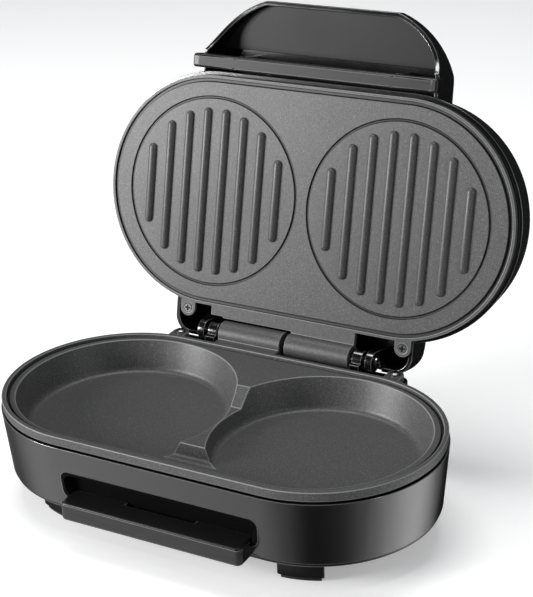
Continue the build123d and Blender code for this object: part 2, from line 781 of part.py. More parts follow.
def thermostat():
    body = post(thermostat_x, 0, thermostat_radius, under_floor_z - thermostat_drop, under_floor_z)
    half = thermostat_ear_y + thermostat_ear_width / 2
    body += block(thermostat_x - thermostat_ear_width / 2, thermostat_x + thermostat_ear_width / 2,
                  -half, half, thermostat_ear_z - thermostat_ear_thickness, thermostat_ear_z)
    return cut_screws(body, thermostat_group)


def thermal_fuse():
    turn = Rot(0, 90, 0)
    return Pos(fuse_x, 0, under_floor_z - fuse_radius) * turn * Cylinder(fuse_radius, fuse_length)


def fuse_strap():
    half = strap_screw_y + strap_width / 2
    strap = block(fuse_x - strap_width / 2, fuse_x + strap_width / 2, -half, half, strap_z - strap_thickness,
                  strap_z)
    return cut_screws(strap, strap_group)


def terminal_block():
    body = block(terminal_x - terminal_length / 2, terminal_x + terminal_length / 2,
                 terminal_y - terminal_width / 2, terminal_y + terminal_width / 2,
                 housing_bottom, terminal_top)
    bore = Rot(90, 0, 0) * Cylinder(terminal_bore_radius, terminal_width + 2 * overlap)
    for i in (-1, 0, 1):
        body -= Pos(terminal_x + i * terminal_pitch, terminal_y, housing_bottom + terminal_height / 2) * bore
    for x, y in terminal_spots:
        body -= post(x, y, screw_head_radius + screw_play, terminal_seat_z, terminal_top + overlap)
    return cut_screws(body, terminal_group)


# ---------------------------------------------------------------- lid, drawn shut
def rib(length):
    """One press rib, rounded at its ends and along its crest."""
    bar = extrude(SlotOverall(length, rib_width, rotation=90), -rib_height)
    return fillet(bar.edges().group_by(Axis.Z)[0], rib_rounding)


def upper_cooking_plate():
    plate = obround_prism(press_radius, press_z, press_rim_z)
    plate -= obround_prism(press_radius - press_rim_width, press_back_z, press_rim_z + overlap)
    groove_outer = press_radius - press_bead_width
    plate -= obround_ring(groove_outer, groove_outer - press_groove_width,
                          press_z - overlap, press_z + press_groove_depth)
    for side in (-1, 1):
        centre = side * well_half_spacing
        ring = Cylinder(ring_radius + ring_width / 2, 2 * ring_depth)
        ring -= Cylinder(ring_radius - ring_width / 2, 4 * ring_depth)
        plate -= Pos(centre, 0, press_z) * ring
        for i, half in enumerate(rib_half_lengths):
            x = centre + (i - (len(rib_half_lengths) - 1) / 2) * rib_pitch
            plate += Pos(x, 0, press_z) * rib(2 * half)
    seat = obround_ring(element_loop_radius + seat_width / 2, element_loop_radius - seat_width / 2,
                        press_back_z - overlap, press_back_z + seat_height, well_half_spacing)
    exit_gap = block(-element_exit_half_gap - element_exit_bend, element_exit_half_gap + element_exit_bend,
                     0, plate_radius, press_back_z, lid_top_z)
    plate += seat - exit_gap
    for x, y in clamp_spots:
        plate += post(x, y, clamp_boss_radius, press_back_z - overlap, upper_clamp_z)
    for x, y in both_ways(hook_x, -press_radius + press_rim_width + hook_thickness / 2):
        side = hook_width / 2
        outer_y = y - hook_thickness / 2
        plate += block(x - side, x + side, outer_y, y + hook_thickness / 2, press_back_z - overlap,
                       press_back_z + hook_height)
        plate += block(x - side, x + side, outer_y - hook_tooth, y, press_back_z + hook_height - hook_tooth,
                       press_back_z + hook_height)
    tabs = None
    for x, y in upper_ear_spots:
        ear = post(x, y, ear_radius, press_z, upper_ear_z)
        ear += block(x - ear_radius, x + ear_radius, well_top_radius, y, press_z, upper_ear_z)
        tabs = ear if tabs is None else tabs + ear
    x0 = hinge_mid_x + barrel_start
    x1 = x0 + barrel_length
    near_barrel = hinge_y - barrel_radius - hinge_clearance
    top = press_z + hinge_flange_height
    tabs += block(rest_tab_x[1], x1, well_top_radius, near_barrel, press_z, top)
    tabs += block(x0, x1, well_top_radius, hinge_y, press_z, top)
    tabs += block(rest_tab_x[0], rest_tab_x[1], well_top_radius, hinge_y - rest_tab_gap, press_z, upper_ear_z)
    tabs -= obround_prism(press_radius - press_bead_width / 2, press_z - overlap, press_rim_z + overlap)
    plate += tabs
    plate += rod_x(x0, x1, barrel_radius)
    plate -= element(upper_element_z, seat_play)
    plate -= rod_x(x0 - overlap, x1 + overlap, pin_hole_radius)
    return cut_screws(cut_screws(plate, upper_clamps), upper_ears)


def tongue_plan(grow):
    """The handle's outline seen from above, reaching back into the lid."""
    wide = tongue_root_half_width
    tip = tongue_tip_half_width
    chord = Vector(tip - wide, tongue_tip_y - tongue_root_y)
    out = Vector(-chord.Y, chord.X).normalized() * -1
    if out.X < 0:
        out = out * -1
    middle = Vector((wide + tip) / 2, (tongue_root_y + tongue_tip_y) / 2) + out * tongue_bulge
    right = ThreePointArc((wide, tongue_root_y), (middle.X, middle.Y), (tip, tongue_tip_y))
    left = ThreePointArc((-tip, tongue_tip_y), (-middle.X, middle.Y), (-wide, tongue_root_y))
    back = -well_floor_radius
    edges = [
        Line((wide, back), (wide, tongue_root_y)), right, Line((tip, tongue_tip_y), (-tip, tongue_tip_y)),
        left, Line((-wide, tongue_root_y), (-wide, back)), Line((-wide, back), (wide, back)),
    ]
    face = make_face(edges)
    return offset(face, grow) if grow else face


def below_tongue_top(drop):
    """Everything in front of the lid that lies under the handle's sloping top."""
    root = lid_top_z - tongue_top_drop - drop
    tip = lid_top_z - tongue_tip_drop - drop
    slope = (root - tip) / (-lid_rim_radius - tongue_tip_y)
    front = tongue_tip_y - tongue_wall
    back = -well_floor_radius
    points = [
        (front, 0), (back, 0), (back, root + slope * (back + lid_rim_radius)),
        (front, root + slope * (front + lid_rim_radius)),
    ]
    return profile_x(points, -hood_half_width, hood_half_width)


def tongue_rim_cut():
    """Everything under the handle's curved rim."""
    rim = [(tongue_root_y - out, lid_rim_z + rise) for out, rise in tongue_rim_rise]
    curve = Spline(*rim)
    end_y, end_z = rim[-1]
    start_y, start_z = rim[0]
    back = -well_floor_radius
    edges = [
        curve, Line((end_y, end_z), (end_y, 0)), Line((end_y, 0), (back, 0)),
        Line((back, 0), (back, start_z)), Line((back, start_z), (start_y, start_z)),
    ]
    face = Plane.YZ * make_face(edges)
    return Pos(-hood_half_width, 0, 0) * extrude(face, 2 * hood_half_width)


def tongue_outer():
    body = extrude(Pos(0, 0, hood_rim_z) * tongue_plan(0), lid_top_z - hood_rim_z)
    body = body & below_tongue_top(0)
    top = body.faces().sort_by(Axis.Z)[-1]
    rounded = top.edges().filter_by(lambda e: e.center().Y < -lid_rim_radius)
    body = fillet(rounded, tongue_edge_rounding)
    return body - tongue_rim_cut()


def lid_outer():
    shell = extrude(obround(lid_rim_radius, lid_rim_z), lid_height, taper=lid_taper)
    return fillet(shell.edges().group_by(Axis.Z)[-1], lid_top_rounding)


def hood_outer(shrink):
    """Box behind the lid that covers the hinge, its back and top one long curve."""
    half = hood_half_width - shrink
    back = hood_back_y - shrink
    front = well_top_radius - well_floor_rounding
    top = hood_top_z - shrink
    low = hood_rim_z - shrink * overlap
    corner = hood_side_rounding - shrink
    plan = block(hinge_mid_x - half, hinge_mid_x + half, front - 2 * corner, back, low, top)
    plan = fillet(plan.edges().filter_by(Axis.Z).group_by(Axis.Y)[-1], corner)
    profile = block(hinge_mid_x - half, hinge_mid_x + half, front, back, low - hood_corner, top)
    crest = profile.edges().filter_by(Axis.X).group_by(Axis.Y)[-1].sort_by(Axis.Z)[-1]
    return plan & fillet(crest, hood_corner - shrink)


def lid_shell():
    inner = extrude(obround(lid_rim_radius - lid_wall, lid_rim_z), lid_height - lid_wall, taper=lid_taper)
    around_plate = obround_prism(press_radius + rim_play, hood_rim_z - overlap, lid_rim_z)
    hinge_room = rod_x(hinge_mid_x - hood_cutout_half_width, hinge_mid_x + hood_cutout_half_width,
                       barrel_radius + hinge_clearance)
    shell = lid_outer()
    hollow = extrude(Pos(0, 0, hood_rim_z - overlap) * tongue_plan(-tongue_wall), lid_height + lid_wall)
    hollow = (hollow & below_tongue_top(tongue_ceiling)) - lid_outer()
    tongue = tongue_outer() - hollow
    shell += tongue
    shell += hood_outer(0)
    shell = shell - hood_outer(lid_wall) - inner - around_plate - hinge_room
    for x0, x1 in knuckle_spans(lid_knuckle_start, lid_knuckle_length):
        web = block(x0, x1, hinge_y - lid_knuckle_radius, hood_back_y - lid_wall / 2, hinge_z,
                    hood_top_z - lid_wall - hinge_clearance)
        shell += web + rod_x(x0, x1, lid_knuckle_radius)
    for x, y in upper_ear_spots:
        shell += post(x, y, boss_radius, upper_ear_z, hood_top_z - lid_wall / 2)
    for x, y in shield_spots:
        shell += post(x, y, shield_post_radius, upper_shield_z + shield_thickness, lid_ceiling_z + overlap)
    for x, y in lip_spots:
        boss = post(x, y, boss_radius, lip_top_z, lid_top_z)
        shell += (boss & below_tongue_top(tongue_ceiling / 2)) - inner
    for x, y in both_ways(hook_x, -press_radius + press_rim_width):
        side = hook_width / 2
        ledge_top = press_back_z + hook_height - hook_tooth - hook_play
        ledge = block(x - side, x + side, -lid_rim_radius + lid_wall / 2, y - hook_play, lid_rim_z, ledge_top)
        shell += ledge
    shell -= rod_x(-pin_reach, pin_reach, pin_hole_radius)
    for group in (upper_ears, upper_shield, lip_group):
        shell = cut_screws(shell, group)
    return shell


def handle_panel():
    """Inner face of the handle, laid against the underside of its top."""
    body = extrude(Pos(0, 0, lid_rim_z) * tongue_plan(-tongue_wall - panel_play), lid_height)
    body = body & below_tongue_top(tongue_ceiling)
    body -= below_tongue_top(tongue_ceiling + panel_thickness)
    return body & block(-hood_half_width, hood_half_width, tongue_tip_y, panel_start_y, 0, lid_top_z)


def lip_strip_solid():
    margin = strip_margin
    bar = block(-lip_half_length + 3 * margin, lip_half_length - 3 * margin, lip_front_y + margin,
                lip_back_y - margin, lip_bottom_z - strip_proud, lip_bottom_z - strip_proud + strip_thickness)
    return fillet(bar.edges().filter_by(Axis.Z), margin / 2)


def lid_handle_lip():
    bar = block(-lip_half_length, lip_half_length, lip_front_y, lip_back_y, lip_bottom_z, lip_top_z)
    bar = fillet(bar.edges().filter_by(Axis.Z), lip_rounding)
    bar = fillet(bar.edges().group_by(Axis.Z)[0], lip_rounding)
    bar -= lip_strip_solid()
    for x, y in lip_spots:
        bar -= post(x, y, screw_head_radius + screw_play, lip_bottom_z, lip_bottom_z + lip_screw_seat)
    return cut_screws(bar, lip_group)


# ---------------------------------------------------------------- hinge pin
def pin_ends():
    reach = lid_knuckle_start + lid_knuckle_length + pin_end_play
    return hinge_mid_x - reach, hinge_mid_x + reach


def hinge_pin():
    left, right = pin_ends()
    head = rod_x(left - pin_head_length, left, pin_head_radius)
    return head + rod_x(left, right + pin_head_length, pin_radius)


def pin_clip():
    right = pin_ends()[1]
    ring = rod_x(right, right + pin_head_length, pin_head_radius)
    return ring - rod_x(right, right + pin_head_length, pin_radius)


# ---------------------------------------------------------------- export
os.makedirs("parts", exist_ok=True)
export_step(base_housing(), "parts/base_housing.step")
export_step(recess_tray(), "parts/recess_tray.step")
export_step(hinge_bridge(), "parts/hinge_bridge.step")
export_step(bottom_cover(), "parts/bottom_cover.step")
export_step(foot_pads(), "parts/foot_pads.step")
export_step(lower_cooking_plate(), "parts/lower_cooking_plate.step")
export_step(element(lower_element_z), "parts/lower_heating_element.step")
export_step(clamp_bars(lower_clamp_z - clamp_thickness, lower_clamps), "parts/lower_element_clamps.step")
export_step(heat_shield(lower_shield_z, True), "parts/lower_heat_shield.step")
export_step(thermostat(), "parts/thermostat.step")
export_step(thermal_fuse(), "parts/thermal_fuse.step")
export_step(fuse_strap(), "parts/fuse_strap.step")
export_step(terminal_block(), "parts/terminal_block.step")
export_step(cord_gland(), "parts/cord_gland.step")
export_step(lower_handle(), "parts/lower_handle.step")
export_step(handle_trim_solid(), "parts/lower_handle_trim.step")
export_step(hinge_pin(), "parts/hinge_pin.step")
export_step(pin_clip(), "parts/pin_clip.step")
export_step(screw_group(lower_clamps), "parts/lower_clamp_screws.step")
export_step(screw_group(lower_shield), "parts/lower_shield_screws.step")
export_step(screw_group(thermostat_group), "parts/thermostat_screws.step")
export_step(screw_group(strap_group), "parts/fuse_strap_screws.step")
export_step(screw_group(terminal_group), "parts/terminal_screws.step")
plate_screws = screws_at(*rear_tabs) + screws_at(*front_tabs)
export_step(Compound(plate_screws), "parts/plate_screws.step")
export_step(screw_group(lower_ears), "parts/lower_ear_screws.step")
export_step(screw_group(cover_group), "parts/cover_screws.step")
export_step(Compound(handle_screw_tools()), "parts/handle_screws.step")

export_step(swung(lid_shell()), "parts/lid_shell.step")
export_step(swung(upper_cooking_plate()), "parts/upper_cooking_plate.step")
export_step(swung(element(upper_element_z)), "parts/upper_heating_element.step")
export_step(swung(clamp_bars(upper_clamp_z, upper_clamps)), "parts/upper_element_clamps.step")
export_step(swung(heat_shield(upper_shield_z, False)), "parts/upper_heat_shield.step")
export_step(swung(handle_panel()), "parts/handle_panel.step")
export_step(swung(lid_handle_lip()), "parts/lid_handle_lip.step")
export_step(swung(lip_strip_solid()), "parts/lid_lip_trim.step")
export_step(swung(screw_group(upper_clamps)), "parts/upper_clamp_screws.step")
export_step(swung(screw_group(upper_shield)), "parts/upper_shield_screws.step")
export_step(swung(screw_group(upper_ears)), "parts/upper_ear_screws.step")
export_step(swung(screw_group(lip_group)), "parts/lid_lip_screws.step")
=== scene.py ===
# %% [markdown]
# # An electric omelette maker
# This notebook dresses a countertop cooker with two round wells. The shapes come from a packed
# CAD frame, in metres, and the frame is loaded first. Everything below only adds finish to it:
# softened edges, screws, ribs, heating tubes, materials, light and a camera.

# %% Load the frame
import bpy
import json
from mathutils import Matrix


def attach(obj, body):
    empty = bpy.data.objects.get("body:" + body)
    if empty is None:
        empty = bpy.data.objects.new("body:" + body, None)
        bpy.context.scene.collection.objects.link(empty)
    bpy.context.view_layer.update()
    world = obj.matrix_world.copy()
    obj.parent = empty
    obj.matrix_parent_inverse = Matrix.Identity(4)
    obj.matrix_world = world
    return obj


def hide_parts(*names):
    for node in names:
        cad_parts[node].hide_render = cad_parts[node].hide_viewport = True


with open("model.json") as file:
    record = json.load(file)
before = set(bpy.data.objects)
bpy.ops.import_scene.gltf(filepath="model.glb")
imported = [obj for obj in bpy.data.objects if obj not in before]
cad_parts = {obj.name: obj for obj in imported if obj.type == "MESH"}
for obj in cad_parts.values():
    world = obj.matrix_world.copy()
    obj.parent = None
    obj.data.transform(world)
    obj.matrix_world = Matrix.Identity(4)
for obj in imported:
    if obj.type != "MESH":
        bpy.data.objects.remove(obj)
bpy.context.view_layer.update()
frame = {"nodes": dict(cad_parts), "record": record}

import json
import math
import bmesh
import bpy
from mathutils import Matrix, Vector

scene = bpy.context.scene
MM = 0.001

# %% [markdown]
# ## The camera
# A product camera is set by where it stands and by three directions: what is right, what is
# down, and where it looks. The three make the columns of its matrix. The focal length and the
# small shifts of the lens are in pixels of a frame whose long side has `long_side` of them.

# %% Set up the camera
camera_right = Vector((0.87801019, 0.47727794, -0.03610922))
camera_down = Vector((0.16255214, -0.36828952, -0.91539043))
camera_look = Vector((-0.45019431, 0.79785249, -0.4009445))
camera_data = bpy.data.cameras.new("camera")
camera = bpy.data.objects.new("camera", camera_data)
scene.collection.objects.link(camera)
camera_spot = Vector((0.409343, -0.668009, 0.466073))
turn = Matrix((camera_right, -camera_down, -camera_look)).transposed()
camera.matrix_world = Matrix.Translation(camera_spot) @ turn.to_4x4()
long_side = 597
focal_length = 1606.59
camera_data.sensor_width = 36
camera_data.lens = camera_data.sensor_width * focal_length / long_side
camera_data.shift_x = 0.73 / long_side
camera_data.shift_y = -0.31 / long_side
scene.camera = camera
scene.view_settings.view_transform = "Standard"
print("camera stands at", [round(v, 3) for v in camera.matrix_world.translation])

# %% [markdown]
# ## Maths on sockets
# A procedural material is a small calculation. Wiring every Math node by hand hides the idea, so
# this cell wraps a socket in a class whose operators add the nodes. `1 - mask` and `2 * noise`
# then read as they would on paper. `Finish` makes every other node through one method. Later
# cells store a value called `edge` on each face, 1 on a rounded outer edge and -1 in an inner
# corner or a groove, and a finish can read it to paint a highlight on the one and shade in the
# other.

# %% Wrap sockets and build finishes
class Value:
    """A number that flows between shader nodes."""

    def __init__(self, finish, socket):
        self.finish = finish
        self.socket = socket

    def maths(self, operation, first, second):
        node = self.finish.node("ShaderNodeMath", {"operation": operation}, {0: first, 1: second})
        return Value(self.finish, node.outputs[0])

    def __add__(self, other):
        return self.maths("ADD", self, other)

    __radd__ = __add__

    def __sub__(self, other):
        return self.maths("SUBTRACT", self, other)

    def __rsub__(self, other):
        return self.maths("SUBTRACT", other, self)

    def __mul__(self, other):
        return self.maths("MULTIPLY", self, other)

    __rmul__ = __mul__

    def above(self, low, high):
        """0 below low, 1 above high, and smooth between them."""
        node = self.finish.node("ShaderNodeMapRange", {"interpolation_type": "SMOOTHSTEP"},
                                {"Value": self, "From Min": low, "From Max": high})
        return Value(self.finish, node.outputs[0])


class Finish:
    """One material, with its Principled shader ready to take values."""

    def __init__(self, name, **constants):
        self.material = bpy.data.materials.new(name)
        self.material.use_nodes = True
        self.tree = self.material.node_tree
        self.tree.nodes.clear()
        self.surface = self.node("ShaderNodeBsdfPrincipled", sockets=constants)
        self.node("ShaderNodeOutputMaterial", sockets={"Surface": self.surface.outputs[0]})
        self.place = self.node("ShaderNodeTexCoord").outputs["Object"]

    def node(self, kind, settings=None, sockets=None):
        """Add a node: its settings first, then the values or links of its sockets."""
        made = self.tree.nodes.new(kind)
        for key, value in (settings or {}).items():
            setattr(made, key, value)
        for key, value in (sockets or {}).items():
            key = key.replace("_", " ") if isinstance(key, str) else key
            if isinstance(value, Value):
                value = value.socket
            if isinstance(value, bpy.types.NodeSocket):
                self.tree.links.new(value, made.inputs[key])
            else:
                made.inputs[key].default_value = value
        return made

    def noise(self, size, detail=2.0, stretch=(1, 1, 1), roughness=0.5):
        """Noise whose features are about size metres wide."""
        place = self.node("ShaderNodeMapping", sockets={
            "Vector": self.place, "Scale": stretch}).outputs[0]
        made = self.node("ShaderNodeTexNoise", sockets={
            "Vector": place, "Scale": 1 / size, "Detail": detail, "Roughness": roughness})
        return Value(self, made.outputs[0])

    def cells(self, size):
        """Distance to the nearest of many scattered points, in cells of about size metres."""
        made = self.node("ShaderNodeTexVoronoi", sockets={"Vector": self.place, "Scale": 1 / size})
        return Value(self, made.outputs["Distance"])

    def stored(self, name):
        """A value stored on the mesh's faces."""
        made = self.node("ShaderNodeAttribute", {"attribute_name": name})
        return Value(self, made.outputs["Fac"])

    def edge_highlight_mask(self):
        """1 on rounded outer edges, where a highlight is painted."""
        return self.stored("edge").above(0.2, 0.8)

    def corner_shade_mask(self):
        """1 in rounded inner corners and in grooves, where shade is painted."""
        return (self.stored("edge") * -1).above(0.2, 0.8)

    def blend(self, amount, first, second):
        """Mix two colours."""
        made = self.node("ShaderNodeMix", {"data_type": "RGBA"}, {0: amount, 6: first, 7: second})
        return made.outputs[2]

    def set(self, **sockets):
        """Feed the Principled shader."""
        for key, value in sockets.items():
            value = value.socket if isinstance(value, Value) else value
            self.tree.links.new(value, self.surface.inputs[key.replace("_", " ")])

    def relief(self, height, depth):
        """Bump by a height from 0 to 1, depth metres deep."""
        made = self.node("ShaderNodeBump", sockets={
            "Strength": 1.0, "Distance": depth, "Height": height})
        self.tree.links.new(made.outputs[0], self.surface.inputs["Normal"])


def grey(level, tint=0.0):
    """An RGBA colour, slightly warm for a tint above zero and cool below it."""
    return (level * (1 + tint), level, level * (1 - tint), 1)


materials = {}
print("shader helpers ready")

# %% [markdown]
# ## Glossy housing
# The housing and lid are moulded in black plastic with a polished face. Polished plastic isn't a
# mirror: its gloss wavers a little from the mould, and handling leaves faint smears. A low
# roughness under a broad noise gives the smears, a fine one gives dust, and a very shallow relief
# wavers the reflections. The black stays almost pure, because the reflections carry the shape,
# and the rounded edges carry a painted highlight, a paler grey, so that the outlines read.

# %% Housing gloss
gloss = Finish("housing_gloss", IOR=2.0)
smear = gloss.noise(0.045, detail=3)
dust = gloss.noise(0.0011, detail=1).above(0.66, 0.78)
plain = gloss.blend(dust * 0.25, grey(0.004), grey(0.015))
# The rounded edges are painted a paler grey as a highlight.
gloss.set(Base_Color=gloss.blend(gloss.edge_highlight_mask() * 0.6, plain, grey(0.14)),
          Roughness=smear.above(0.4, 0.8) * 0.06 + dust * 0.06 + 0.15)
gloss.relief(gloss.noise(0.006, detail=1), 0.00002)
materials["housing_gloss"] = gloss.material
print("gloss nodes", len(gloss.tree.nodes))

# %% [markdown]
# ## Satin black and grey mouldings
# Handles, cover and panels come from a mould with a spark-eroded, fine pebbled face. The same
# recipe serves them all: a fine noise for the pebbles, a broad one for uneven sheen. Only the
# grey, the roughness, the size of the grain and how strongly a highlight is painted on the edges
# change, so a function makes them. The finger recess takes a darker grey as painted shade, and a
# low refractive index, so that it stays dark.

# %% Satin mouldings
def satin(name, level, roughness, grain, depth=0.00003, highlight_share=0.0, index=1.5):
    """Moulded plastic with a fine pebbled face."""
    finish = Finish(name, IOR=index)
    pebbles = finish.noise(grain, detail=2)
    sheen = finish.noise(0.03, detail=2)
    moulded = finish.blend(pebbles, grey(level * 0.8), grey(level * 1.2))
    # A highlight is painted on the rounded edges as a paler grey.
    finish.set(Base_Color=finish.blend(finish.edge_highlight_mask() * highlight_share, moulded, grey(0.3)),
               Roughness=sheen * 0.1 + (roughness - 0.05))
    finish.relief(pebbles, depth)
    materials[name] = finish.material


satin("black_satin", 0.008, 0.34, 0.0005, highlight_share=0.5)
# The recess takes a darker grey than the other black mouldings, as painted shade.
satin("recess_black", 0.002, 0.6, 0.0005, index=1.12)
satin("panel_grey", 0.012, 0.5, 0.0005, index=1.35)
satin("foot_rubber", 0.015, 0.75, 0.0009, depth=0.00008)
print("satin finishes", list(materials))

# %% [markdown]
# ## Brushed trim strips
# The strips on the two handles are dark metal-grey plastic, brushed along their length. A noise
# stretched along x makes long hairlines, which vary the colour and the roughness together.

# %% Trim grey
trim = Finish("trim_grey", Metallic=0.1, IOR=1.3)
hairline = trim.noise(0.0006, detail=2, stretch=(0.03, 1, 1))
brushed = trim.blend(hairline, grey(0.022), grey(0.04))
# A highlight is painted on the rounded edges as a paler grey.
trim.set(Base_Color=trim.blend(trim.edge_highlight_mask() * 0.5, brushed, grey(0.3)),
         Roughness=hairline * 0.16 + 0.34)
trim.relief(hairline, 0.00001)
materials["trim_grey"] = trim.material
print("trim nodes", len(trim.tree.nodes))

# %% [markdown]
# ## Speckled non-stick coating
# The cooking plates are cast aluminium with a sprayed non-stick coat. Two sizes of speckle lie in
# it: fine pale flecks and fewer larger ones. Voronoi cells give flecks that never touch, which
# sprayed drops do not either. The coat is slightly pebbled and has a soft, broad sheen. A highlight
# is painted on its outer edges as a paler grey, and shade is painted into its inner corners and
# grooves as near black.

# %% Plate coating
coat = Finish("plate_coating", IOR=1.5)
grain = coat.noise(0.0007, detail=3, roughness=0.7)
fine = 1 - coat.cells(0.0016).above(0.14, 0.3)
large = 1 - coat.cells(0.006).above(0.06, 0.11)
cloud = coat.noise(0.05, detail=3)
ground = coat.blend(grain.above(0.3, 0.72), grey(0.032), grey(0.09))
flecked = coat.blend(fine * 0.2 + large * 0.25, ground, grey(0.25))
# A highlight is painted on the outer edges as a paler grey.
with_edge_highlight = coat.blend(coat.edge_highlight_mask() * 0.42, flecked, grey(0.34))
# Shade is painted into inner corners and grooves as near black.
with_corner_shade = coat.blend(coat.corner_shade_mask(), with_edge_highlight, grey(0.006))
coat.set(Base_Color=with_corner_shade, Roughness=0.4 + cloud * 0.12 - fine * 0.06)
coat.relief(grain + fine * 0.3, 0.00006)
materials["plate_coating"] = coat.material
print("coating nodes", len(coat.tree.nodes))

# %% [markdown]
# ## Metals inside and out
# Sheet, pins and screws are steel in several states: plain, zinc plated, blackened, or browned by
# heat. One function lays fine directional scratches over a soft cloud, and paints shade into inner
# corners, such as the cross of a screw. On the heating tube the cloud also stains the steel brown.
# The terminal block's ceramic is glazed unevenly.

# %% Metals
def steel(name, level, roughness, tint=0.0, stain=None):
    """Metal with fine scratches, painted shade in its inner corners, and a stain where it has been
    hot.
    """
    finish = Finish(name, Metallic=1.0)
    scratches = finish.noise(0.0005, detail=3, stretch=(0.15, 1, 1))
    cloud = finish.noise(0.02, detail=3)
    colour = finish.blend(scratches, grey(level * 0.85, tint), grey(level * 1.15, tint))
    if stain:
        colour = finish.blend(cloud.above(0.35, 0.7), colour, stain)
    # Shade is painted into inner corners, such as a screw's cross, as near black.
    colour = finish.blend(finish.corner_shade_mask() * 0.9, colour, grey(0.01))
    finish.set(Base_Color=colour, Roughness=scratches * 0.12 + cloud * 0.1 + (roughness - 0.1))
    finish.relief(scratches, 0.00001)
    materials[name] = finish.material


steel("sheet_steel", 0.55, 0.38)
steel("screw_steel", 0.5, 0.3, tint=0.02)
steel("pin_steel", 0.48, 0.26)
steel("dark_screw", 0.2, 0.3)
steel("element_sheath", 0.3, 0.45, tint=0.05, stain=(0.2, 0.17, 0.16, 1))

ceramic = Finish("terminal_ceramic", IOR=1.5)
glaze = ceramic.noise(0.004, detail=2)
ceramic.set(Base_Color=ceramic.blend(glaze, (0.72, 0.7, 0.64, 1), (0.8, 0.78, 0.73, 1)),
            Roughness=glaze * 0.2 + 0.35)
ceramic.relief(glaze, 0.00002)
materials["terminal_ceramic"] = ceramic.material
print("materials", sorted(materials))

# %% [markdown]
# ## Which slot each piece uses
# The record says which material slot each node takes. Reading it here keeps the scene and the
# record the same. The hidden CAD nodes get their material too.

# %% Read slots and bodies from the record
slots = {part["node"]: part["material_slot"] for part in frame["record"]["subparts"]}
bodies = {}
for body, nodes in frame["record"]["behaviour"]["bodies"].items():
    for node in nodes:
        bodies[node] = body


def put_material(piece, slot):
    """Give a piece the one material of its slot."""
    piece.data.materials.clear()
    piece.data.materials.append(materials[slot])


for node, cad in frame["nodes"].items():
    put_material(cad, slots[node])
print("slots in use", sorted(set(slots.values())))

# %% [markdown]
# ## From the closed lid to the open one
# The lid's pieces are easiest to describe shut, lying flat. The joint in the record gives the
# hinge line and how far the lid swings, so one matrix stands the lid's own pieces up, and its
# inverse lays a spot of the open lid flat again. Heights are millimetres above the worktop.

# %% Stand the lid open
hinge = frame["record"]["behaviour"]["joints"][0]
hinge_spot = Vector(hinge["pos_m"])
swing = Matrix.Rotation(-math.radians(hinge["range_deg"][1]), 4, Vector(hinge["axis"]))
stand_open = Matrix.Translation(hinge_spot) @ swing @ Matrix.Translation(-hinge_spot)
lay_shut = stand_open.inverted()
press_face_z = 61.4
print("lid stands open by", hinge["range_deg"][1], "degrees")

# %% [markdown]
# ## Softened edges
# No moulded or cast edge is perfectly sharp, and it is the small rounding that catches the light.
# The CAD meshes are loose triangles, so each piece is made as a merged copy: doubles are merged,
# flat triangles are dissolved into whole faces, and a bevel rounds every edge sharper than an
# angle. The bevel gives its own faces a second copy of the material, so that they can be told
# apart and take their `edge` value. The copy then stands for the CAD node and rides on its body.

# %% Merge a CAD mesh and settle a finished piece
same_place = 1e-6


def merged(node):
    """A closed, tidy copy of a CAD node's mesh."""
    work = bmesh.new()
    work.from_mesh(frame["nodes"][node].data)
    bmesh.ops.remove_doubles(work, verts=work.verts, dist=same_place)
    bmesh.ops.dissolve_degenerate(work, edges=work.edges, dist=same_place)
    bmesh.ops.dissolve_limit(work, angle_limit=math.radians(0.5), verts=work.verts,
                             edges=work.edges)
    return work


def mark_edges(mesh):
    """Write the `edge` of each face: 1 on a rounded outer edge, -1 in a rounded inner corner."""
    work = bmesh.new()
    work.from_mesh(mesh)
    edge = work.faces.layers.float.new("edge")
    for face in work.faces:
        if face.material_index == 1:
            bends = [side.calc_face_angle_signed(0.0) for side in face.edges]
            face[edge] = 1.0 if sum(bends) > 0 else -1.0
        face.material_index = 0
    work.to_mesh(mesh)
    work.free()


def settle(piece, name, node_names, body, slot):
    """Turn a worked-on object into a plain finished piece that stands for some CAD nodes."""
    bpy.context.view_layer.update()
    ready = piece.evaluated_get(bpy.context.evaluated_depsgraph_get())
    mesh = bpy.data.meshes.new_from_object(ready)
    bpy.data.objects.remove(piece)
    mesh.name = name
    if len(mesh.materials) > 1 and "edge" not in mesh.attributes:
        mark_edges(mesh)
    made = bpy.data.objects.new(name, mesh)
    scene.collection.objects.link(made)
    put_material(made, slot)
    if node_names:
        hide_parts(*node_names)
    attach(made, body)
    return made


print("ready to merge and settle")

# %% Round the edges of the moulded and cast pieces
def softened(node, width, prepare=None):
    """The node with its edges rounded to width metres."""
    work = merged(node)
    if prepare:
        prepare(work)
    mesh = bpy.data.meshes.new(node)
    work.to_mesh(mesh)
    work.free()
    mesh.shade_smooth()
    for _ in range(2):
        mesh.materials.append(materials[slots[node]])
    piece = bpy.data.objects.new(node + "_work", mesh)
    scene.collection.objects.link(piece)
    bevel = piece.modifiers.new("edges", "BEVEL")
    bevel.width = width
    bevel.segments = 2
    bevel.limit_method = "ANGLE"
    bevel.angle_limit = math.radians(28)
    bevel.use_clamp_overlap = False
    bevel.material = 1
    weigh = piece.modifiers.new("shading", "WEIGHTED_NORMAL")
    weigh.keep_sharp = True
    weigh.weight = 80
    made = settle(piece, "finished_" + node, [node], bodies[node], slots[node])
    print(made.name, len(made.data.polygons), "faces")
    return made


